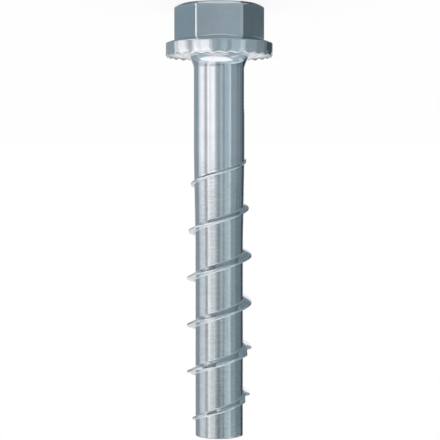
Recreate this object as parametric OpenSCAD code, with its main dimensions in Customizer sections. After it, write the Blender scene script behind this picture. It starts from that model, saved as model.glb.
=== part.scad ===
// Concrete screw, a one-piece steel anchor that cuts its own thread in a drilled hole.
// All sizes in millimetres. The flat head top lies on z = 0 and the tip points up +Z.
// A flat of the hexagon faces -Y and two of its corners lie on the X axis.

/* [Head] */
// width across the flats of the hexagon
head_across_flats = 15; // [14:0.25:16]
// height from the flat top to the points of the flange teeth
head_height = 10.1; // [9:0.1:12]
// how far inside the flats the round edge of the flat top lies
head_top_inset = 0.3; // [0.1:0.1:1]
// angle of the chamfer that breaks the hexagon corners at the top
head_chamfer_angle = 30; // [15:1:40]

/* [Flange] */
// outer diameter of the flange
flange_diameter = 20.4; // [19:0.2:23]
// height of the straight rim of the flange
rim_height = 2.15; // [1.4:0.05:2.8]
// slope of the upper side of the flange
flange_slope = 21; // [10:1:25]
// rounding of the upper edge of the rim
rim_rounding = 0.3; // [0.1:0.05:0.5]
// hollow rounding between the flange and the shank
neck_radius = 2.7; // [1:0.1:2.8]

/* [Flange teeth] */
// number of locking teeth under the flange
tooth_count = 28; // [16:1:30]
// height of the teeth at the rim
tooth_height = 0.5; // [0.2:0.05:0.6]
// how far the teeth run in from the rim
tooth_length = 2.3; // [1.5:0.1:2.4]
// width of the teeth at the rim
tooth_width = 2.05; // [1:0.05:2.1]
// distance the teeth stay behind the rim
tooth_inset = 0.1; // [0.05:0.05:0.3]

/* [Shank] */
// length from the tooth points to the end of the tip
length_under_head = 72.3; // [68:0.1:120]
// diameter of the plain shank
shank_diameter = 9.7; // [9.3:0.1:10.1]
// diameter of the core between the threads
core_diameter = 9.2; // [8.8:0.1:9.2]
// length over which the shank narrows to the core
taper_length = 16.2; // [8:0.2:24]
// distance from the start of the thread to the start of the taper
taper_delay = 1.9; // [1:0.1:8]
// chamfer around the tip
tip_chamfer = 0.15; // [0.1:0.05:1]

/* [Thread] */
// outer diameter of the thread
thread_diameter = 12.5; // [11.5:0.1:13.5]
// rise of the thread in one turn
thread_pitch = 9; // [7:0.1:9.6]
// number of turns
thread_turns = 6; // [4.5:0.025:6.3]
// plain length left between the thread and the tip
tip_plain = 1.35; // [1.2:0.05:6]
// direction in which the last turn ends, seen from the tip
thread_end_angle = 70; // [0:1:359]
// width of the full thread where it leaves the core
thread_root_width = 1.8; // [1.4:0.05:2.2]
// width of the cutting crest
thread_crest_width = 0.34; // [0.2:0.02:0.5]
// width of the thread where it starts and ends
thread_start_width = 0.75; // [0.6:0.05:1]
// height of the thread where it starts and ends
thread_start_height = 0.15; // [0.1:0.05:0.4]
// turns over which the thread grows out of the shank
run_in_turns = 2.3; // [1:0.1:2.6]
// turns over which the thread fades at the tip
run_out_turns = 1.025; // [0.5:0.025:1.2]

/* [Thread notches] */
// number of saw notches in the crest of the last turns
notch_count = 6; // [0:1:6]
// depth of a notch below the crest
notch_depth = 0.9; // [0.5:0.05:1]
// turn from the end of the thread back to the first notch
notch_lead_angle = 155; // [140:1:190]
// turn from one notch to the next
notch_step_angle = 90; // [80:1:110]
// further turn of every second notch
notch_stagger_angle = 10; // [0:1:15]
// turn from the wall of a notch to the direction its floor faces
notch_floor_angle = 5; // [0:1:10]

/* [Hidden] */
$fn = 96;
// flat part of the underside of the flange, between the teeth
underside_z = head_height - tooth_height;
rim_top_z = underside_z - rim_height;
tip_z = head_height + length_under_head;
flange_radius = flange_diameter / 2;
shank_radius = shank_diameter / 2;
core_radius = core_diameter / 2;
hex_corner_radius = head_across_flats / 2 / cos(30);
head_top_radius = head_across_flats / 2 - head_top_inset;
// the sloping upper side of the flange, carried on inside the hexagon
cone_top_z = rim_top_z - flange_radius * tan(flange_slope);
// middle of the rounding between the slope and the rim
rim_round_z = rim_top_z + rim_rounding * (1 / cos(flange_slope) - tan(flange_slope));
thread_end_z = tip_z - tip_plain;
thread_start_z = thread_end_z - thread_turns * thread_pitch;
taper_start_z = thread_start_z + taper_delay;
taper_end_z = taper_start_z + taper_length;
thread_full_height = thread_diameter / 2 - core_radius;
// depth to which the foot of the thread reaches into the body
thread_bury = thread_root_width / 6;
// least height of a notch floor over the core
notch_clearance = thread_root_width / 7;
steps_per_turn = 40;
step_count = ceil(thread_turns * steps_per_turn);
metal = "#9fb0b8";

// radius of the plain body at a height on the shank
function body_radius(z) =
    z <= taper_start_z ? shank_radius :
    z >= taper_end_z ? core_radius :
    shank_radius + (core_radius - shank_radius) * (z - taper_start_z) / taper_length;

// share of the full thread height after a number of turns, ends growing and fading
function thread_share(turns) =
    min(1, turns / run_in_turns, pow(max(0, thread_turns - turns) / run_out_turns, 0.75));

function thread_height(turns) =
    thread_start_height + (thread_full_height - thread_start_height) * thread_share(turns);

function thread_z(turns) = thread_start_z + turns * thread_pitch;

function crest_radius(turns) = body_radius(thread_z(turns)) + thread_height(turns);

function thread_angle(turns) = thread_end_angle + 360 * (turns - thread_turns);

// four corners of the thread section, the first and last section lying inside the body
function thread_section(turns, buried) =
    let (
        z = thread_z(turns),
        base = body_radius(z),
        crest = buried ? base - thread_bury / 3 : crest_radius(turns),
        share = thread_share(turns),
        root = thread_start_width + (thread_root_width - thread_start_width) * share,
        lean = (root - thread_crest_width) / 2 / thread_height(turns),
        half_in = root / 2 + min(lean, 1) * thread_bury,
        half_out = thread_crest_width / 2,
        a = thread_angle(turns)
    )
    [
        for (corner = [[base - thread_bury, -half_in], [crest, -half_out],
                       [crest, half_out], [base - thread_bury, half_in]])
            [corner[0] * cos(a), corner[0] * sin(a), z + corner[1]]
    ];

function step_turns(i) = thread_turns * i / step_count;

// floor of a notch, kept clear of the core
function notch_floor(turns) =
    max(core_radius + notch_clearance, crest_radius(turns) - notch_depth);

// head: hexagon with a chamfered top, standing on the sloped flange
module hexagon() {
    chamfer_rise = (hex_corner_radius - head_top_radius) * tan(head_chamfer_angle);
    outer = 2 * hex_corner_radius - head_top_radius;
    intersection() {
        cylinder(r = hex_corner_radius, h = rim_top_z, $fn = 6);
        rotate_extrude()
            polygon([
                [0, 0],
                [head_top_radius, 0],
                [outer, 2 * chamfer_rise],
                [outer, head_height],
                [0, head_height]
            ]);
    }
}

// flange, neck, shank and core, turned as one round body
module round_body() {
    rotate_extrude() {
        difference() {
            union() {
                polygon([
                    [0, cone_top_z],
                    [flange_radius - rim_rounding * (1 - sin(flange_slope)),
                     rim_round_z - rim_rounding * cos(flange_slope)],
                    [flange_radius, rim_round_z],
                    [flange_radius, underside_z],
                    [shank_radius + neck_radius, underside_z],
                    [shank_radius, underside_z + neck_radius],
                    [shank_radius, taper_start_z],
                    [core_radius, taper_end_z],
                    [core_radius, tip_z - tip_chamfer],
                    [core_radius - tip_chamfer, tip_z],
                    [0, tip_z]
                ]);
                translate([flange_radius - rim_rounding, rim_round_z])
                    circle(r = rim_rounding);
            }
            translate([shank_radius + neck_radius, underside_z + neck_radius])
                circle(r = neck_radius);
        }
    }
}

// one locking tooth: a ridge that rises from the underside towards the rim
module tooth() {
    rise = atan(tooth_height / tooth_length);
    translate([flange_radius - tooth_inset - tooth_length, 0, underside_z])
        rotate([0, -rise, 0])
            rotate([90, 0, 90])
                linear_extrude(tooth_length / cos(rise) + tooth_inset)
                    polygon([
                        [0, 0],
                        [-tooth_width / 2, -tooth_height],
                        [-tooth_width / 2, -2 * tooth_height],
                        [tooth_width / 2, -2 * tooth_height],
                        [tooth_width / 2, -tooth_height]
                    ]);
}

// the ring of teeth, trimmed round just inside the rim
module flange_teeth() {
    intersection() {
        translate([0, 0, rim_round_z])
            cylinder(r = flange_radius - tooth_inset, h = rim_height + 2 * tooth_height);
        for (i = [0 : tooth_count - 1])
            rotate([0, 0, -90 + (i + 0.5) * 360 / tooth_count])
                tooth();
    }
}

// the rolled thread, one ridge wound round the core
module thread_ridge() {
    points = [
        for (i = [0 : step_count])
            each thread_section(step_turns(i), i == 0 || i == step_count)
    ];
    sides = [
        for (i = [0 : step_count - 1])
            for (k = [0 : 3])
                let (
                    a = 4 * i + k,
                    b = 4 * i + (k + 1) % 4,
                    c = 4 * (i + 1) + (k + 1) % 4,
                    d = 4 * (i + 1) + k
                )
                each [[a, b, c], [a, c, d]]
    ];
    last = 4 * step_count;
    polyhedron(
        points = points,
        faces = concat(sides, [[3, 2, 1, 0]], [[last, last + 1, last + 2, last + 3]])
    );
}

// a square notch: its wall faces forward along the thread and its floor runs out of the crest
module notch(turns) {
    floor_radius = notch_floor(turns);
    rotate([0, 0, thread_angle(turns) + notch_floor_angle])
        translate([floor_radius, -floor_radius * tan(notch_floor_angle),
                   thread_z(turns) - thread_pitch / 4])
            cube([thread_diameter / 2, thread_diameter / 2, thread_pitch * 0.6]);
}

module thread() {
    difference() {
        thread_ridge();
        for (i = [0 : 1 : notch_count - 1])
            notch(thread_turns - (notch_lead_angle + i * notch_step_angle
                                  + (i % 2) * notch_stagger_angle) / 360);
    }
}

module concrete_screw() {
    color(metal) {
        union() {
            hexagon();
            round_body();
            flange_teeth();
            thread();
        }
    }
}

concrete_screw();
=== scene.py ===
# Concrete screw, standing on the flat top of its head with the tip up, as it comes to rest.
# Sizes of the screw are in millimetres, turned into metres where the mesh is made. The rest is in metres.
import math

import bpy
import numpy as np
from mathutils import Matrix


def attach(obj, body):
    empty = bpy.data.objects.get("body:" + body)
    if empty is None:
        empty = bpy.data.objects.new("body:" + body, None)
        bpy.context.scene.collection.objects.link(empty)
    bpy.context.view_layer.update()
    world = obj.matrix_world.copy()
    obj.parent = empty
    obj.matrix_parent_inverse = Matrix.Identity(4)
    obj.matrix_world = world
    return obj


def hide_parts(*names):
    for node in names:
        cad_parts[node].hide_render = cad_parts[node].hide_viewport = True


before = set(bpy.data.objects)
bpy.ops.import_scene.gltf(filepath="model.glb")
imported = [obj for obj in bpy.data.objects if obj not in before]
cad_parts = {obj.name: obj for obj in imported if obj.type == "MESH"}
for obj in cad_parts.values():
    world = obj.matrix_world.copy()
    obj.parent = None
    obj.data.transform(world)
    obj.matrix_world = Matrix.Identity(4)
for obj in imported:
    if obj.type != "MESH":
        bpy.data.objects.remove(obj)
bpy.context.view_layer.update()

# Hexagon head
# The top of the forged blank: six flats for a 15 mm socket, a chamfer turned round the flat top, and
# corners that tumbling before the plating has rounded. It is steel, in one piece with the flange.
across_flats = 15.0
corner_rounding = 0.52
corner_wear_start = 8.45
corner_wear_depth = 0.15
flat_top_radius = 7.2
top_edge_rounding = 0.4
chamfer_angle = 22.0
chamfer_rounding = 0.09
chamfer_margin = 0.2
foot_margin = 0.25
# The flats end where the slope of the flange meets them, so its size is needed here.
flange_radius = 10.2
flange_slope = 20.0
rim_top = 7.4
# Directions round the axis: ten to every flange tooth, and more at the rounded hexagon corners.
tooth_count = 28
per_tooth = 10
corner_offsets = (-2.5, -1.85, -1.5, -1.15, -0.75, -0.4, 0, 0.4, 0.75, 1.15, 1.5, 1.85, 2.5)
least_spacing = 0.12
direction_count = tooth_count * per_tooth
round_directions = [-90 + i * 360 / direction_count for i in range(direction_count)]
for corner in range(6):
    round_directions += [corner * 60 + offset for offset in corner_offsets]
round_directions = sorted(direction % 360 for direction in round_directions)
kept_directions = [round_directions[0]]
for direction in round_directions[1:]:
    past_last = direction - kept_directions[-1]
    to_first = 360 + kept_directions[0] - direction
    if min(past_last, to_first) > least_spacing:
        kept_directions.append(direction)
around = np.radians(kept_directions)


def hexagon_radius(angle):
    """Distance from the axis to the side of the rounded hexagon, whose corners lie on the X axis."""
    flat = across_flats / 2
    from_flat = np.degrees(angle) % 60 - 30
    arc_middle = (flat - corner_rounding) / math.cos(math.radians(30))
    from_corner = np.radians(30 - np.abs(from_flat))
    inside = np.maximum(corner_rounding**2 - (arc_middle * np.sin(from_corner)) ** 2, 0)
    arc = arc_middle * np.cos(from_corner) + np.sqrt(inside)
    flat_end = math.degrees(math.atan((flat - corner_rounding) * math.tan(math.radians(30)) / flat))
    return np.where(np.abs(from_flat) < flat_end, flat / np.cos(np.radians(from_flat)), arc)


# Rings of the outline from the middle of the flat top to the shank: radius, height and a mark of wear and
# painted light. The mark is 1 on a rubbed edge; -1 is painted shade and -2 darker painted shade.
outline = []


def outline_ring(radius, height, wear_and_painted_light=0.0):
    """One ring of points round the axis; radius, height and the mark of wear and painted light may change
    with the direction.
    """
    ones = np.ones(len(around))
    outline.append((radius * ones, height * ones, wear_and_painted_light * ones))


def eased_corner(radius, height, before, after, rounding, steps, wear_and_painted_light=0.0):
    """Rings round a rounded corner of the outline; before and after are its two directions in degrees."""
    turn = math.radians(after - before)
    reach = rounding * math.tan(abs(turn) / 2)
    hand = math.copysign(1, turn)
    start = math.radians(before)
    middle_out = -reach * math.cos(start) - hand * rounding * math.sin(start)
    middle_up = -reach * math.sin(start) + hand * rounding * math.cos(start)
    for k in range(steps + 1):
        way = start + turn * k / steps
        out = middle_out + hand * rounding * math.sin(way)
        up = middle_up - hand * rounding * math.cos(way)
        outline_ring(radius + out, height + up, wear_and_painted_light)


hexagon_side = hexagon_radius(around)
chamfer_end = (hexagon_side - flat_top_radius) * math.tan(math.radians(chamfer_angle))
hexagon_foot = rim_top - (flange_radius - hexagon_side) * math.tan(math.radians(flange_slope))
corner_wear = np.clip((hexagon_side - corner_wear_start) / corner_wear_depth, 0, 1)
for ring_radius in (3.5, 6.4):
    outline_ring(ring_radius, 0.0)
eased_corner(flat_top_radius, 0.0, 0, chamfer_angle, top_edge_rounding, steps=3, wear_and_painted_light=0.5)
eased_corner(hexagon_side, chamfer_end, chamfer_angle, 90, chamfer_rounding, steps=3, wear_and_painted_light=0.7)
flats_start = chamfer_end + chamfer_margin
flats_end = hexagon_foot - foot_margin
for share in (0.15, 0.35, 0.55, 0.75, 0.9):
    outline_ring(hexagon_side, flats_start + (flats_end - flats_start) * share, corner_wear)

# Flange
# The broad collar forged under the hexagon, with a sloped top, a straight rim and a rounded upper edge.
# Small locking teeth are pressed into the rim of its underside, so that the screw can't work loose.
rim_rounding = 0.18
underside = 9.6
tooth_height = 0.5
tooth_length = 2.3
tooth_inset = 0.1
tooth_rounding = 0.3
tooth_mean = 0.7
tooth_wave = 0.26
# A narrow bevel, left by the forging die, leads from the flats to the slope.
foot_bevel = 54.0
bevel_out = 0.13
bevel_rounding = 0.1
bevel_end = hexagon_foot + bevel_out * math.tan(math.radians(flange_slope))
bevel_start = bevel_end - bevel_out * math.tan(math.radians(foot_bevel))
eased_corner(hexagon_side, bevel_start, 90, foot_bevel, bevel_rounding, steps=2)
eased_corner(hexagon_side + bevel_out, bevel_end, foot_bevel, flange_slope, bevel_rounding, steps=2)
# The slope, with its rings clear of the bevel and of the rim's rounded edge.
bevel_margin = 0.35
rim_margin = 0.28
slope_start = hexagon_side + bevel_margin
slope_end = flange_radius - rim_margin
for share in (0.25, 0.5, 0.75):
    slope_radius = slope_start + (slope_end - slope_start) * share
    drop = (flange_radius - slope_radius) * math.tan(math.radians(flange_slope))
    outline_ring(slope_radius, rim_top - drop)
# The rim; two rings close to its rounded edge keep the shading of the straight part even.
eased_corner(flange_radius, rim_top, flange_slope, 90, rim_rounding, steps=5, wear_and_painted_light=0.5)
for rim_height in (7.56, 7.7, 8.2, 8.9):
    outline_ring(flange_radius, rim_height)


def tooth_rise(radius):
    """Height of the toothed underside at a radius, for every direction round the axis."""
    spacing = 360 / tooth_count
    turn = 2 * math.pi * (np.degrees(around) + 90) / spacing
    ridge = tooth_height * (radius - (flange_radius - tooth_inset - tooth_length)) / tooth_length
    return max(ridge, 0) * (tooth_mean - tooth_wave * np.cos(turn))


# The rim runs flush into the ends of the teeth, whose wavy edge is rounded.
tooth_edge = underside + tooth_rise(flange_radius - tooth_inset)
# The inner part of the rounded edge carries painted shade, which runs on into the shade between the teeth.
edge_wear_and_shade = (0.4, 0.5, 0.6, 0.5, -0.4, -1.4)
for k, wear_and_painted_light in enumerate(edge_wear_and_shade):
    way = math.radians(90 * k / (len(edge_wear_and_shade) - 1))
    outline_ring(
        flange_radius - tooth_rounding * (1 - math.cos(way)),
        tooth_edge - tooth_rounding * (1 - math.sin(way)),
        wear_and_painted_light,
    )
# Painted shade between the teeth grows from their inner ends towards the rim.
tooth_shade_start = 7.75
tooth_shade_growth = 1.6
full_tooth_shade = 2.0
for radius in (9.85, 9.55, 9.2, 8.85, 8.5, 8.2, 7.95, tooth_shade_start):
    tooth_shade = min(full_tooth_shade, (radius - tooth_shade_start) * tooth_shade_growth)
    outline_ring(radius, underside + tooth_rise(radius), -tooth_shade)

# Shank
# The plain round of the wire under the head, joined to the flange by a wide hollow rounding. It narrows
# slowly to the core that carries the thread.
shank_radius = 4.85
core_radius = 4.6
taper_start = 28.95
taper_end = 45.15
neck_radius = 2.7
neck_steps = 18
# Steps of the hollow where its painted shade ends, and over which it fades.
neck_shade_end = 11
neck_shade_fade = 4
for k in range(neck_steps + 1):
    way = math.radians(90 * k / neck_steps)
    neck_shade = min(1.0, max(0.0, (neck_shade_end - k) / neck_shade_fade))
    outline_ring(
        shank_radius + neck_radius * (1 - math.sin(way)),
        underside + neck_radius * (1 - math.cos(way)),
        -neck_shade,
    )
for height in (13.2, 15.0, 17.0, 19.0):
    outline_ring(shank_radius, height)


def body_radius(height):
    """Radius of the plain shank, the taper or the core at a height."""
    share = np.clip((height - taper_start) / (taper_end - taper_start), 0, 1)
    return shank_radius + (core_radius - shank_radius) * share


# The rings as points and faces, closed by a fan in the middle of the flat top.
screw_points = [np.array([[0.0, 0.0, 0.0]])]
screw_rubbing_and_light = [np.zeros(1)]
screw_rolled = [np.zeros(1)]
screw_faces = []


def add_points(radius, angle, height, wear_and_painted_light, rolled):
    """Takes a row of points round the axis into the screw and gives the number of the first one."""
    first = sum(len(points) for points in screw_points)
    ones = np.ones(len(angle))
    row = np.stack([radius * np.cos(angle), radius * np.sin(angle), height * ones], axis=1)
    screw_points.append(row)
    screw_rubbing_and_light.append(wear_and_painted_light * ones)
    screw_rolled.append(rolled * ones)
    return first


def join_rings(ring_numbers, columns):
    """Faces between closed rings that follow each other; each ring is the number of its first point."""
    for ring, next_ring in zip(ring_numbers, ring_numbers[1:]):
        for j in range(columns):
            after = (j + 1) % columns
            screw_faces.append((ring + j, ring + after, next_ring + after, next_ring + j))


outline_rings = [add_points(radius, around, height, wear_and_painted_light, 0.0) for radius, height, wear_and_painted_light in outline]
join_rings(outline_rings, len(around))
for j in range(len(around)):
    after = (j + 1) % len(around)
    screw_faces.append((0, outline_rings[0] + after, outline_rings[0] + j))

# Thread
# One right-hand ridge rolled up out of the wire, six turns that grow from the shank and fade at the tip.
# Square notches across the crest of the last two turns make the saw that cuts into the concrete.
tip = 82.4
thread_pitch = 9.0
thread_turns = 6
thread_end = 81.05
thread_end_angle = 70.0
thread_start = thread_end - thread_turns * thread_pitch
thread_full_height = 1.65
thread_start_height = 0.15
thread_root_width = 1.8
thread_start_width = 0.42
width_growth = 1.4
# The crest is sharp on the first turns and broader on the notched ones.
thread_crest_width = 0.22
saw_crest_width = 0.36
crest_change_turns = (3.3, 4.0)
crest_width_limit = 0.45
run_in_turns = 2.3
run_out_turns = 1.025
run_out_curve = 0.75
end_steepness = 40
# The side that leads into the hole is steeper than the side that bears the load.
tip_side_share = 0.52
root_rounding = 0.16
crest_rounding = 0.07
# Notches, counted from the end of the thread: every second one comes a little later and leans back.
notch_count = 6
last_notch_angle = 155
notch_spacing = 90
notch_delay = 10
notch_angle = 60
notch_depth = 0.9
notch_floor_angles = (-4.0, 5.0)
notch_clearance = thread_root_width / 7
notches_a_turn = 360 // notch_spacing
notch_turns = []
for i in range(notch_count):
    before_end = last_notch_angle + notch_spacing * i + notch_delay * (i % 2)
    notch_turns.append(thread_turns - before_end / 360)


def thread_share(turns):
    """Share of the full height of the thread after a number of turns."""
    fade = (np.maximum(thread_turns - turns, 0) / run_out_turns) ** run_out_curve
    return np.clip(np.minimum(turns / run_in_turns, fade), 0, 1)


def thread_height(turns):
    """Height of the ridge over the body, brought down to nothing at both ends."""
    height = thread_start_height + (thread_full_height - thread_start_height) * thread_share(turns)
    return height * np.clip(np.minimum(turns, thread_turns - turns) * end_steepness, 0, 1)


# Stations along the helix: even steps, and a close pair of them at the wall of every notch.
steps_a_turn = 144
first_turn = -0.06
last_turn = thread_turns + 0.04
wall_half = 0.0004
wall_clearance = 0.003
within_turn = [i / steps_a_turn for i in range(steps_a_turn)]
for notch in notch_turns[:notches_a_turn]:
    wall = (notch - first_turn) % 1
    within_turn = [part for part in within_turn if abs(part - wall) > wall_clearance]
    within_turn += [wall - wall_half, wall + wall_half]
within_turn.sort()
a_turn = len(within_turn)
stations = np.array([first_turn + lap + part for lap in range(thread_turns + 2) for part in within_turn])
stations = stations[stations <= last_turn]
station_count = len(stations)
station_angle = np.radians(thread_end_angle + 360 * (stations - thread_turns))
thread_middle = thread_start + stations * thread_pitch
ridge_height = thread_height(stations)
ridge_base = body_radius(thread_middle)
ridge_crest = ridge_base + ridge_height
grown_width = (thread_root_width - thread_start_width) * thread_share(stations) ** width_growth
half_root = (thread_start_width + grown_width) / 2
crest_width = np.interp(stations, crest_change_turns, (thread_crest_width, saw_crest_width))
half_crest = np.minimum(crest_width / 2, crest_width_limit * half_root)
# Each notch has a flat floor, a few degrees off square to its wall.
ridge_top = ridge_crest.copy()
for i, notch in enumerate(notch_turns):
    crest_there = body_radius(thread_start + notch * thread_pitch) + thread_height(notch)
    notch_floor = max(core_radius + notch_clearance, crest_there - notch_depth)
    past_wall = (stations - notch) * 360
    past_floor = np.clip(past_wall, 0, notch_angle) - notch_floor_angles[i % 2]
    floor_there = notch_floor / np.cos(np.radians(past_floor))
    cut = (past_wall >= 0) & (past_wall < notch_angle)
    ridge_top = np.where(cut, np.minimum(ridge_top, floor_there), ridge_top)
top_height = np.maximum(ridge_top - ridge_base, 0)
# The crest is rubbed where it stands whole and high, and less and less towards the tip.
notch_edge = 0.05
rubbed_height = 0.4
rubbed_fade_turns = 1.2
crest_wear = np.clip(1 - (ridge_crest - ridge_top) / notch_edge, 0, 1)
crest_wear *= np.clip(top_height / rubbed_height, 0, 1)
crest_wear *= np.clip((thread_turns - stations) / rubbed_fade_turns, 0, 1)

# Limits that keep the rows of a side apart where the ridge is low. A rounding takes no more than a share
# of the height there.
least_height = 0.05
least_root_reach = 0.02
least_crest_reach = 0.01
least_half_top = 0.02
root_round_share = 0.5
crest_round_share = 0.3
# Skin is 1 where the rolls have worked, and 2 in the root, which they left dull.
rolled_skin = 1.0
dull_skin = 2.0


def ridge_side(half_foot):
    """One side of the ridge at every station, foot to crest: distance from its middle, rise, wear and
    painted light, skin.
    """
    lean = (half_foot - half_crest) / np.maximum(ridge_height, least_height)
    half_top = half_crest + (ridge_crest - ridge_top) * lean
    flank_angle = np.arctan2(top_height, half_foot - half_top)
    root_round = np.minimum(root_rounding, root_round_share * top_height)
    root_reach = np.maximum(root_round * np.tan(flank_angle / 2), least_root_reach)
    crest_round = np.minimum(crest_rounding, crest_round_share * top_height)
    crest_reach = np.maximum(crest_round * np.tan(flank_angle / 2), least_crest_reach)
    flank_foot = half_foot - root_reach * np.cos(flank_angle)
    flank_foot_rise = root_reach * np.sin(flank_angle)
    flank_end = half_top + crest_reach * np.cos(flank_angle)
    flank_end_rise = top_height - crest_reach * np.sin(flank_angle)
    hollow_half = half_foot + root_reach - root_round * np.sin(flank_angle / 2)
    hollow_half = np.minimum(hollow_half, half_foot + root_reach / 2)
    hollow_rise = root_round * (1 - np.cos(flank_angle / 2))
    # The two rows in the root carry 0.7 and 0.4: the lighter colour there is a painted highlight along the
    # root of the thread.
    rows = [
        (half_foot + root_reach, 0.0, 0.0, rolled_skin),
        (hollow_half, hollow_rise, 0.7, dull_skin),
        (flank_foot, flank_foot_rise, 0.4, dull_skin),
    ]
    for share in (0.08, 0.5, 0.92):
        flank_half = flank_foot + (flank_end - flank_foot) * share
        flank_rise = flank_foot_rise + (flank_end_rise - flank_foot_rise) * share
        rows.append((flank_half, flank_rise, 0.0, rolled_skin))
    rows.append((flank_end, flank_end_rise, 0.7, rolled_skin))
    top_edge = np.maximum(half_top - crest_reach, least_half_top)
    for share in (1.0, 0.8):
        rows.append((share * top_edge, top_height, 1.0, rolled_skin))
    return rows


# Rows of the threaded stretch: they start half-way to the turn before, go over the ridge and end short
# of the next turn. The first turn starts at a level ring on the shank, the last ends at one by the tip.
shank_ring = 20.0
tip_ring = tip - 0.34
skin_start = 24.0
skin_fade = 12.0
head_side = ridge_side(half_root)
tip_side = ridge_side(half_crest + (half_root - half_crest) * tip_side_share)
in_first_lap = np.arange(station_count) < a_turn
in_last_lap = np.arange(station_count) >= station_count - a_turn
gap_before = np.where(in_first_lap, thread_middle - shank_ring, thread_pitch / 2)
gap_after = np.where(in_last_lap, tip_ring - thread_middle, thread_pitch / 2)
head_foot = head_side[0][0]
tip_foot = tip_side[0][0]
thread_rows = []


def thread_row(height, radius, wear_and_painted_light, skin):
    """Takes one row along the helix into the screw; the rolled skin fades in under the plain shank."""
    grown_skin = skin * np.clip((height - skin_start) / skin_fade, 0, 1)
    thread_rows.append(add_points(radius, station_angle, height, wear_and_painted_light * crest_wear, grown_skin))


for share in (0, 0.5, 0.85, 0.97):
    core_height = thread_middle - gap_before + (gap_before - head_foot) * share
    thread_row(core_height, body_radius(core_height), 0.0, rolled_skin)
for half, rise, wear_and_painted_light, skin in head_side:
    thread_row(thread_middle - half, ridge_base + rise, wear_and_painted_light, skin)
thread_row(thread_middle, ridge_base + top_height, 1.0, rolled_skin)
for half, rise, wear_and_painted_light, skin in reversed(tip_side):
    thread_row(thread_middle + half, ridge_base + rise, wear_and_painted_light, skin)
for share in (0.03, 0.15, 0.5):
    core_height = thread_middle + tip_foot + (gap_after - tip_foot) * share
    thread_row(core_height, body_radius(core_height), 0.0, rolled_skin)

# The tip: a ring where the last turn ends, a small chamfer and the flat end sheared off the wire. Its rings
# give radius, height and the mark of wear and painted light; painted shade lies on the sheared edge.
tip_chamfer = 0.08
tip_outline = (
    (core_radius, tip_ring, 0.0),
    (core_radius, tip - 0.2, -0.6),
    (core_radius - 0.01, tip - tip_chamfer, -1.4),
    (core_radius - tip_chamfer, tip - 0.01, -2.0),
    (core_radius - tip_chamfer - 0.1, tip, -0.5),
    (3.0, tip, 0.0),
)
lap_angle = np.zeros(a_turn)
lap_angle[np.arange(station_count - a_turn, station_count) % a_turn] = station_angle[-a_turn:]
tip_rings = [add_points(radius, lap_angle, height, wear_and_painted_light, 1.0) for radius, height, wear_and_painted_light in tip_outline]
tip_middle = add_points(0.0, np.zeros(1), tip, 0.0, 1.0)

# Faces between the rows. Past the last row comes the next turn, or the tip ring on the last turn.
last_station = station_count - 1
last_row = thread_rows[-1]
for k in range(last_station):
    for row, next_row in zip(thread_rows, thread_rows[1:]):
        screw_faces.append((row + k, row + k + 1, next_row + k + 1, next_row + k))
    if k + 1 + a_turn <= last_station:
        next_turn = thread_rows[0] + k + a_turn
        screw_faces.append((last_row + k, last_row + k + 1, next_turn + 1, next_turn))
    else:
        ring_here = tip_rings[0] + k % a_turn
        ring_next = tip_rings[0] + (k + 1) % a_turn
        end_face = [last_row + k, last_row + k + 1, ring_next, ring_here]
        if k + a_turn == last_station:
            end_face += [row + last_station for row in reversed(thread_rows)]
        screw_faces.append(tuple(end_face))
screw_faces.append((thread_rows[0] + a_turn - 1, *thread_rows, thread_rows[0] + a_turn))
join_rings(tip_rings, a_turn)
for j in range(a_turn):
    screw_faces.append((tip_rings[-1] + j, tip_rings[-1] + (j + 1) % a_turn, tip_middle))


def closed_border(angles, first):
    """Angles and point numbers of a ring in order round the axis, with its first point again at the end."""
    full_turn = 2 * math.pi
    border = sorted((angle % full_turn, first + j) for j, angle in enumerate(angles))
    first_angle, first_number = border[0]
    border.append((first_angle + full_turn, first_number))
    return zip(*border)


# The band between the shank's last ring and the level start of the threaded stretch.
shank_angles, shank_border = closed_border(around, outline_rings[-1])
thread_angles, thread_border = closed_border(station_angle[:a_turn], thread_rows[0])
shank_last = len(shank_border) - 1
thread_last = len(thread_border) - 1
i = 0
j = 0
while i < shank_last or j < thread_last:
    if j == thread_last or (i < shank_last and shank_angles[i + 1] <= thread_angles[j + 1]):
        screw_faces.append((shank_border[i], shank_border[i + 1], thread_border[j]))
        i += 1
    else:
        screw_faces.append((shank_border[i], thread_border[j + 1], thread_border[j]))
        j += 1

# The finished screw
# Head, flange, shank and thread are one piece of hardened steel, so they are one mesh, and the whole of
# it is bright zinc plated in a bath after the forging and the rolling.
millimetre = 0.001
sharp_angle = 38
screw_mesh = bpy.data.meshes.new("concrete_screw_form")
screw_mesh.from_pydata((np.concatenate(screw_points) * millimetre).tolist(), [], screw_faces)
screw_mesh.validate()
screw_mesh.update()
for attribute_name, point_values in (("rubbing_and_painted_light", screw_rubbing_and_light), ("rolled_skin", screw_rolled)):
    point_attribute = screw_mesh.attributes.new(attribute_name, "FLOAT", "POINT")
    point_attribute.data.foreach_set("value", np.concatenate(point_values).astype(np.float32))
screw_mesh.shade_smooth()
screw_mesh.set_sharp_from_angle(angle=math.radians(sharp_angle))
screw = bpy.data.objects.new("screw", screw_mesh)
bpy.context.scene.collection.objects.link(screw)

zinc = bpy.data.materials.new("bright_zinc_plating")
zinc.use_nodes = True
zinc_nodes = zinc.node_tree.nodes
zinc_links = zinc.node_tree.links
plating = zinc_nodes["Principled BSDF"]
plating.inputs["Metallic"].default_value = 1.0
plating.inputs["IOR"].default_value = 1.8


def zinc_attribute(name):
    """Value that the points of the screw carry."""
    attribute = zinc_nodes.new("ShaderNodeAttribute")
    attribute.attribute_name = name
    return attribute.outputs["Fac"]


def stretched(vector, scale):
    """Coordinates with a scale of their own along each axis."""
    mapping = zinc_nodes.new("ShaderNodeMapping")
    mapping.inputs["Scale"].default_value = scale
    zinc_links.new(vector, mapping.inputs["Vector"])
    return mapping.outputs["Vector"]


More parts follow.
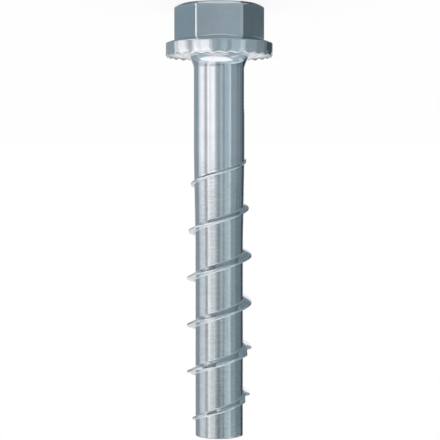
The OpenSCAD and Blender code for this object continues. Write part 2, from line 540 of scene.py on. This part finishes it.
def zinc_noise(vector, scale, detail, roughness=0.5):
    """Marks that lie over the plating by chance."""
    noise = zinc_nodes.new("ShaderNodeTexNoise")
    noise.inputs["Scale"].default_value = scale
    noise.inputs["Detail"].default_value = detail
    noise.inputs["Roughness"].default_value = roughness
    zinc_links.new(vector, noise.inputs["Vector"])
    return noise.outputs["Fac"]


def zinc_ramp(value, dark_end, dark, light_end, light):
    """Colour that goes from dark to light while the value goes from one end to the other."""
    ramp = zinc_nodes.new("ShaderNodeValToRGB")
    for stop, position, colour in zip(ramp.color_ramp.elements, (dark_end, light_end), (dark, light)):
        stop.position = position
        stop.color = (*colour, 1)
    zinc_links.new(value, ramp.inputs["Fac"])
    return ramp.outputs["Color"]


def zinc_range(value, from_start, from_end, to_start=0.0, to_end=1.0):
    """Value brought from one range into another and held there."""
    in_range = zinc_nodes.new("ShaderNodeMapRange")
    in_range.inputs["From Min"].default_value = from_start
    in_range.inputs["From Max"].default_value = from_end
    in_range.inputs["To Min"].default_value = to_start
    in_range.inputs["To Max"].default_value = to_end
    zinc_links.new(value, in_range.inputs["Value"])
    return in_range.outputs["Result"]


def zinc_math(operation, *parts):
    """One step of arithmetic; each part is a number or comes from another node."""
    step = zinc_nodes.new("ShaderNodeMath")
    step.operation = operation
    for socket, part in zip(step.inputs, parts):
        if isinstance(part, float):
            socket.default_value = part
        else:
            zinc_links.new(part, socket)
    return step.outputs["Value"]


def zinc_mix(share, ground, over, blend="MIX"):
    """Ground colour with another over it by a share; the other is plain or comes from another node."""
    mix = zinc_nodes.new("ShaderNodeMix")
    mix.data_type = "RGBA"
    mix.blend_type = blend
    zinc_links.new(share, mix.inputs["Factor"])
    zinc_links.new(ground, mix.inputs["A"])
    if isinstance(over, tuple):
        mix.inputs["B"].default_value = (*over, 1)
    else:
        zinc_links.new(over, mix.inputs["B"])
    return mix.outputs["Result"]


place = zinc_nodes.new("ShaderNodeTexCoord").outputs["Object"]
rubbing_and_light = zinc_attribute("rubbing_and_painted_light")
rolled = zinc_attribute("rolled_skin")
# Drawn lines along the axis, left by the die and the rolls.
drawn_lines = zinc_noise(stretched(place, (1.0, 1.0, 0.045)), scale=2000, detail=3, roughness=0.6)
# Faint ripples across them, where the rolls pressed the thread.
roll_marks = zinc_noise(stretched(place, (0.5, 0.5, 1.6)), scale=1500, detail=2)
# Clouds in the plating, a few millimetres wide, and fine crystals of the zinc.
clouds = zinc_noise(place, scale=420, detail=5, roughness=0.65)
crystals = zinc_noise(place, scale=5200, detail=2)
# Colour: cool zinc, a little darker in the clouds, brighter where edges are rubbed and where a highlight is
# painted along the thread's root, and darker where shade is painted in the hollows.
zinc_tone = zinc_ramp(clouds, 0.3, (0.685, 0.735, 0.765), 0.7, (0.755, 0.805, 0.83))
rubbed_and_highlit = zinc_mix(rubbing_and_light, zinc_tone, (0.86, 0.89, 0.9))
# Painted shade in the hollow under the flange, on the inner edge of the teeth and at the tip.
shaded_in_hollows = zinc_mix(zinc_range(rubbing_and_light, 0.0, -1.0), rubbed_and_highlit, (0.57, 0.6, 0.62))
# Darker painted shade between the teeth and on the sheared edge of the tip.
deeper_shaded = zinc_mix(zinc_range(rubbing_and_light, -1.0, -2.0), shaded_in_hollows, (0.33, 0.355, 0.37))
# The roll marks also show as lighter and darker spots.
mark_tone = zinc_ramp(roll_marks, 0.35, (0.955, 0.955, 0.955), 0.65, (1.035, 1.035, 1.035))
marked = zinc_mix(rolled, deeper_shaded, mark_tone, blend="MULTIPLY")
# Fine rings on the flanks of the thread, where the metal slid along the rolls. They change with the
# distance from the axis, and only slowly with the height.
from_axis = zinc_nodes.new("ShaderNodeVectorMath")
from_axis.operation = "MULTIPLY"
from_axis.inputs[1].default_value = (1, 1, 0)
zinc_links.new(place, from_axis.inputs[0])
axis_distance = zinc_nodes.new("ShaderNodeVectorMath")
axis_distance.operation = "LENGTH"
zinc_links.new(from_axis.outputs["Vector"], axis_distance.inputs[0])
place_parts = zinc_nodes.new("ShaderNodeSeparateXYZ")
zinc_links.new(place, place_parts.inputs["Vector"])
ring_place = zinc_nodes.new("ShaderNodeCombineXYZ")
zinc_links.new(axis_distance.outputs["Value"], ring_place.inputs["X"])
zinc_links.new(zinc_math("MULTIPLY", place_parts.outputs["Z"], 0.08), ring_place.inputs["Z"])
rings = zinc_noise(ring_place.outputs["Vector"], scale=3600, detail=2)
ring_tone = zinc_ramp(rings, 0.36, (0.8, 0.8, 0.8), 0.64, (1.12, 1.12, 1.12))
rings_start = (core_radius + 0.2) * millimetre
rings_full = (core_radius + 0.5) * millimetre
off_core = zinc_range(axis_distance.outputs["Value"], rings_start, rings_full)
ring_share = zinc_math("MULTIPLY", off_core, rolled)
ringed = zinc_mix(ring_share, marked, ring_tone, blend="MULTIPLY")
zinc_links.new(ringed, plating.inputs["Base Color"])
# Gloss: smooth on the head, duller and streaked on the rolled stretch, dullest in the root of the thread.
streaks = zinc_range(drawn_lines, 0.3, 0.7, 0.07, 0.15)
rolled_gloss = zinc_math("MULTIPLY_ADD", rolled, 0.05, streaks)
root_gloss = zinc_math("ADD", rolled_gloss, zinc_range(rolled, 1.0, 2.0, 0.0, 0.45))
zinc_links.new(root_gloss, plating.inputs["Roughness"])
# Relief: the drawn lines, stronger where the rolls have worked, the roll marks and the crystals.
line_relief = zinc_math("MULTIPLY", drawn_lines, zinc_range(rolled, 0.0, 1.0, 0.25, 1.0))
mark_depth = zinc_math("MULTIPLY", rolled, 1.8)
rolled_relief = zinc_math("MULTIPLY_ADD", roll_marks, mark_depth, line_relief)
skin_relief = zinc_math("MULTIPLY_ADD", crystals, 0.25, rolled_relief)
skin_bump = zinc_nodes.new("ShaderNodeBump")
skin_bump.inputs["Strength"].default_value = 0.35
skin_bump.inputs["Distance"].default_value = 0.00003
zinc_links.new(skin_relief, skin_bump.inputs["Height"])
zinc_links.new(skin_bump.outputs["Normal"], plating.inputs["Normal"])
screw_mesh.materials.append(zinc)
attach(screw, "root")
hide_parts("concrete_screw")

# Floor
# A plain white table top, on which the screw stands on its head. It is wide enough to run out of every
# view, and it keeps the soft shadow under the head.
floor_half = 1.2
floor_mesh = bpy.data.meshes.new("floor_sheet")
floor_mesh.from_pydata(
    [
        (-floor_half, -floor_half, 0),
        (floor_half, -floor_half, 0),
        (floor_half, floor_half, 0),
        (-floor_half, floor_half, 0),
    ],
    [],
    [(0, 1, 2, 3)],
)
floor = bpy.data.objects.new("floor", floor_mesh)
bpy.context.scene.collection.objects.link(floor)
table_white = bpy.data.materials.new("white_table_top")
table_white.use_nodes = True
table_nodes = table_white.node_tree.nodes
table_links = table_white.node_tree.links
table_paint = table_nodes["Principled BSDF"]
table_paint.inputs["Base Color"].default_value = (0.95, 0.95, 0.95, 1)
table_paint.inputs["Roughness"].default_value = 0.9
table_paint.inputs["Specular IOR Level"].default_value = 0.0
# Seen directly or in a reflection, the table top is nearly as white as the tent round it.
table_glow = table_nodes.new("ShaderNodeEmission")
table_glow.inputs["Color"].default_value = (1, 1, 1, 1)
table_glow.inputs["Strength"].default_value = 1.0
table_path = table_nodes.new("ShaderNodeLightPath")
camera_or_glossy = table_nodes.new("ShaderNodeMath")
camera_or_glossy.operation = "MAXIMUM"
table_links.new(table_path.outputs["Is Camera Ray"], camera_or_glossy.inputs[0])
table_links.new(table_path.outputs["Is Glossy Ray"], camera_or_glossy.inputs[1])
seen_directly = table_nodes.new("ShaderNodeMath")
seen_directly.operation = "MAXIMUM"
table_links.new(camera_or_glossy.outputs["Value"], seen_directly.inputs[0])
table_links.new(table_path.outputs["Is Transmission Ray"], seen_directly.inputs[1])
glow_share = table_nodes.new("ShaderNodeMath")
glow_share.operation = "MULTIPLY"
glow_share.inputs[1].default_value = 0.85
table_links.new(seen_directly.outputs["Value"], glow_share.inputs[0])
table_mix = table_nodes.new("ShaderNodeMixShader")
table_links.new(glow_share.outputs["Value"], table_mix.inputs["Fac"])
table_links.new(table_paint.outputs["BSDF"], table_mix.inputs[1])
table_links.new(table_glow.outputs["Emission"], table_mix.inputs[2])
table_links.new(table_mix.outputs["Shader"], table_nodes["Material Output"].inputs["Surface"])
floor_mesh.materials.append(table_white)

# Studio cards
# A light tent of paper that only the metal sees. Its walls stand in a wide ring on the table, mostly
# white to the left and slate-grey to the right, under a roof. Grey mats lie round the head.
slate = (0.855, 1.0, 1.09)
deep_slate = (0.78, 1.0, 1.13)
mid_slate = (0.87, 1.0, 1.05)
paper = (1.03, 1.0, 1.01)
cool_paper = (0.966, 1.0, 1.04)
plain_paper = (0.995, 1.0, 0.997)
# A card is bent in steps of a few degrees, and a sheet on the table lies a hair above the one under it.
bend_step = 4
sheet_lift = 0.000004
card_paint = bpy.data.materials.new("card_paint")
card_paint.use_nodes = True
card_nodes = card_paint.node_tree.nodes
card_links = card_paint.node_tree.links
card_nodes.remove(card_nodes["Principled BSDF"])
card_colour = card_nodes.new("ShaderNodeAttribute")
card_colour.attribute_name = "card_colour"
card_glow = card_nodes.new("ShaderNodeEmission")
card_links.new(card_colour.outputs["Color"], card_glow.inputs["Color"])
card_links.new(card_glow.outputs["Emission"], card_nodes["Material Output"].inputs["Surface"])


def polar(distance, degrees):
    """Place on the table at a distance from the screw, in degrees from the camera towards its right."""
    way = math.radians(degrees)
    return -distance * math.sin(way), -distance * math.cos(way)


def toned(tint, level):
    """Colour of a card at a level."""
    return [level * part for part in tint]


def lit_card(name, rows):
    """A glowing card that only the metal sees; each point of its rows is x, y, z and a colour."""
    width = len(rows[0])
    faces = []
    for i in range(len(rows) - 1):
        for k in range(width - 1):
            corner = i * width + k
            faces.append((corner, corner + 1, corner + width + 1, corner + width))
    sheet = bpy.data.meshes.new(name + "_sheet")
    sheet.from_pydata([point[:3] for row in rows for point in row], [], faces)
    colours = [(*shade, 1) for row in rows for *_, shade in row]
    colour = sheet.attributes.new("card_colour", "FLOAT_COLOR", "POINT")
    colour.data.foreach_set("color", np.array(colours, dtype=np.float32).ravel())
    sheet.materials.append(card_paint)
    card = bpy.data.objects.new(name, sheet)
    bpy.context.scene.collection.objects.link(card)
    card.visible_camera = False
    card.visible_diffuse = False
    card.visible_shadow = False


def bent_card(name, first_deg, last_deg, side):
    """A card bent round the screw; side holds the distance, height and colour of its points."""
    count = max(2, round((last_deg - first_deg) / bend_step) + 1)
    rows = []
    for i in range(count):
        way = first_deg + (last_deg - first_deg) * i / (count - 1)
        rows.append([(*polar(distance, way), height, shade) for distance, height, shade in side])
    lit_card(name, rows)


def plain_card(name, first_deg, last_deg, start, end, shade):
    """A bent card of one colour; start and end are the distance and height of its two edges."""
    bent_card(name, first_deg, last_deg, ((*start, shade), (*end, shade)))


# Heights on a wall where its low, middle, upper and top level end and begin.
wall_distance = 0.45
foot_start = 0.075
low_end = 0.026
middle_start = 0.067
middle_end = 0.2
upper_start = 0.222
upper_end = 0.3
top_start = 0.33
wall_top = 0.42
# Where each stretch of the wall starts and ends, in degrees from the camera towards its right, its four
# levels from the foot to the top, and its tint at the foot and above it.
walls = (
    (-180, -156, 0.5, 1.0, 0.85, 0.85, paper, plain_paper),
    (-156, -107, 0.38, 0.34, 0.5, 0.5, slate, slate),
    (-107, -94, 0.84, 0.66, 0.8, 0.75, paper, cool_paper),
    (-94, -74, 1.15, 0.74, 0.85, 0.92, paper, cool_paper),
    (-74, -68, 0.85, 0.67, 0.78, 0.88, paper, cool_paper),
    (-68, -57, 0.54, 0.39, 0.72, 0.78, paper, cool_paper),
    (-57, -53, 0.9, 0.73, 0.9, 0.9, paper, plain_paper),
    (-53, -48, 1.3, 1.12, 1.05, 1.0, paper, plain_paper),
    (-48, -43, 1.05, 1.06, 1.15, 1.1, paper, plain_paper),
    (-43, -37, 1.0, 0.76, 1.12, 1.15, paper, plain_paper),
    (-37, -20, 1.18, 0.73, 1.0, 1.05, paper, plain_paper),
    (-20, -14, 0.72, 0.58, 0.65, 0.8, paper, plain_paper),
    (-14, -6, 0.48, 0.42, 0.45, 0.62, slate, slate),
    (-6, 4, 0.42, 0.29, 0.42, 0.55, slate, slate),
    (4, 16, 0.56, 0.55, 0.58, 0.68, slate, mid_slate),
    (16, 25, 0.38, 0.36, 0.6, 0.72, slate, mid_slate),
    (25, 44, 0.55, 0.57, 0.63, 0.72, slate, mid_slate),
    (44, 55, 0.75, 0.71, 0.72, 0.6, slate, mid_slate),
    (55, 84, 0.38, 0.36, 0.9, 0.52, slate, slate),
    (84, 108, 0.29, 0.24, 0.65, 0.5, slate, deep_slate),
    (108, 128, 0.22, 0.22, 0.75, 0.8, deep_slate, deep_slate),
    (128, 156, 0.08, 0.06, 0.35, 0.6, deep_slate, deep_slate),
    (156, 180, 0.6, 1.0, 0.75, 0.75, paper, plain_paper),
)
for number, wall in enumerate(walls):
    first_deg, last_deg, low_level, middle_level, upper_level, top_level, foot_tint, tint = wall
    foot_shade = toned(foot_tint, low_level)
    wall_side = (
        (foot_start, sheet_lift, foot_shade),
        (wall_distance, sheet_lift, foot_shade),
        (wall_distance, low_end, foot_shade),
        (wall_distance, middle_start, toned(tint, middle_level)),
        (wall_distance, middle_end, toned(tint, middle_level)),
        (wall_distance, upper_start, toned(tint, upper_level)),
        (wall_distance, upper_end, toned(tint, upper_level)),
        (wall_distance, top_start, toned(tint, top_level)),
        (wall_distance, wall_top, toned(tint, top_level)),
    )
    bent_card(f"wall_{number}", first_deg, last_deg, wall_side)
# Patches on the wall, which only the last turns by the tip show: where they start and end, their lower
# and upper edge, level and tint.
patch_distance = wall_distance - 0.001
patches = (
    (-17, 24, 0.148, 0.17, 0.13, slate),
    (-53, -43, 0.128, 0.2, 0.95, plain_paper),
)
for number, (first_deg, last_deg, lower_edge, upper_edge, level, tint) in enumerate(patches):
    patch_start = (patch_distance, lower_edge)
    patch_end = (patch_distance, upper_edge)
    plain_card(f"patch_{number}", first_deg, last_deg, patch_start, patch_end, toned(tint, level))
# A slit in the wall to the right, where the light of the tent shows through.
slit_first_deg = 50
slit_last_deg = 135
slit_shade = toned(paper, 1.1)
slit_start = (patch_distance, middle_end)
slit_end = (patch_distance, upper_start)
plain_card("slit", slit_first_deg, slit_last_deg, slit_start, slit_end, slit_shade)
# The roof, white over the front and the left, grey over the back and the right: where each part starts
# and ends, level and tint.
roof_height = 0.43
roof_reach = 0.46
roof_parts = (
    (-180, -112, 0.7, slate),
    (-112, 72, 1.25, paper),
    (72, 180, 0.62, slate),
)
for number, (first_deg, last_deg, level, tint) in enumerate(roof_parts):
    roof_edge = (roof_reach, roof_height)
    plain_card(f"roof_{number}", first_deg, last_deg, (0.0, roof_height), roof_edge, toned(tint, level))
# A strip of light under the grey part of the roof, beside the screw and running to the back.
roof_strip_height = roof_height - 0.002
roof_strip_inner = 0.184
roof_strip_outer = 0.231
roof_strip_length = 0.28
roof_strip_shade = toned(paper, 1.1)
roof_strip_rows = []
for back in (0.0, roof_strip_length):
    inner_point = (-roof_strip_inner, back, roof_strip_height, roof_strip_shade)
    outer_point = (-roof_strip_outer, back, roof_strip_height, roof_strip_shade)
    roof_strip_rows.append((inner_point, outer_point))
lit_card("roof_strip", roof_strip_rows)
# Mats on the table, one over the other: where they start and end, their nearest and farthest edge, level
# and tint.
mats = (
    (-180, -98, 0.00715, 0.075, 0.33, deep_slate),
    (-98, -45, 0.00715, 0.075, 0.22, slate),
    (-45, 0, 0.00715, 0.075, 0.395, slate),
    (0, 45, 0.00715, 0.075, 0.43, slate),
    (45, 80, 0.00715, 0.075, 0.36, slate),
    (80, 180, 0.00715, 0.075, 0.27, deep_slate),
    (118, 150, 0.075, 0.13, 0.08, deep_slate),
    (152, 180, 0.075, 0.12, 0.3, deep_slate),
    (152, 180, 0.126, 0.445, 1.1, paper),
    (-98, -45, 0.0085, 0.022, 0.33, deep_slate),
    (-56, -34, 0.0093, 0.016, 1.05, cool_paper),
    (34, 56, 0.0093, 0.016, 0.4, slate),
    (-180, -32, 0.00715, 0.0085, 0.2, slate),
    (32, 180, 0.00715, 0.0085, 0.08, slate),
)
for number, (first_deg, last_deg, nearest, farthest, level, tint) in enumerate(mats):
    mat_lift = (2 + number) * sheet_lift
    mat_start = (farthest, mat_lift)
    mat_end = (nearest, mat_lift)
    plain_card(f"mat_{number}", first_deg, last_deg, mat_start, mat_end, toned(tint, level))
# Pale paper near the head, which draws the light lines at the foot of the hexagon and on the rim.
top_lift = 20 * sheet_lift
near_paper_deg = 28
near_paper_start = (0.0098, top_lift)
near_paper_end = (0.0081, top_lift)
near_paper_shade = toned(cool_paper, 0.7)
plain_card(
    "near_paper",
    -near_paper_deg,
    near_paper_deg,
    near_paper_start,
    near_paper_end,
    near_paper_shade,
)
# Low strips of card close to the head, which draw the light lines on its edges: where they start and end,
# level and tint.
strip_distance = 0.016
strip_height = 0.006
strips = (
    (-74, -34, 1.05, cool_paper),
    (34, 74, 0.4, slate),
)
for number, (first_deg, last_deg, level, tint) in enumerate(strips):
    strip_foot = (strip_distance, top_lift)
    strip_top = (strip_distance, strip_height)
    plain_card(f"strip_{number}", first_deg, last_deg, strip_foot, strip_top, toned(tint, level))
# A dark bar on the table, which only the right flat of the hexagon shows. It starts by that flat and lies
# along the way in which the flat mirrors the camera.
right_flat_deg = 60
bar_deg = 2 * right_flat_deg
bar_start = 0.0006
bar_end = 0.07
bar_half_width = 0.0042
bar_shade = toned(deep_slate, 0.15)
flat_x, flat_y = polar(across_flats / 2 * millimetre, right_flat_deg)
bar_rows = []
for along in (bar_start, bar_end):
    along_x, along_y = polar(along, bar_deg)
    bar_row = []
    for across in (-bar_half_width, bar_half_width):
        across_x, across_y = polar(across, bar_deg + 90)
        bar_row.append((flat_x + along_x + across_x, flat_y + along_y + across_y, top_lift, bar_shade))
    bar_rows.append(bar_row)
lit_card("dark_bar", bar_rows)

# Light and camera
# Even white light from all round, as in a light tent. The camera looks at the screw a little from the
# head's side of its middle, and is turned upside down, because the photograph shows the head on top.
tent = bpy.data.worlds.new("light_tent")
tent.use_nodes = True
tent_light = tent.node_tree.nodes["Background"]
tent_light.inputs["Color"].default_value = (1, 1, 1, 1)
tent_light.inputs["Strength"].default_value = 1.0
bpy.context.scene.world = tent
bpy.context.scene.view_settings.view_transform = "Standard"

camera_distance = 0.2648
camera_height = 0.0322
camera_tilt = 0.0241
photo_width = 440
focal_pixels = 1383.0
aside_pixels = 0.8
camera_data = bpy.data.cameras.new("camera")
camera_data.sensor_width = 36.0
camera_data.lens = camera_data.sensor_width * focal_pixels / photo_width
camera_data.shift_x = aside_pixels / photo_width
camera_data.shift_y = -0.03
camera_data.clip_start = 0.01
camera_data.clip_end = 20
camera = bpy.data.objects.new("camera", camera_data)
bpy.context.scene.collection.objects.link(camera)
tilt_up = math.sin(camera_tilt)
tilt_level = math.cos(camera_tilt)
camera.matrix_world = Matrix(
    (
        (-1, 0, 0, 0),
        (0, tilt_up, -tilt_level, -camera_distance),
        (0, -tilt_level, -tilt_up, camera_height),
        (0, 0, 0, 1),
    )
)
bpy.context.scene.camera = camera
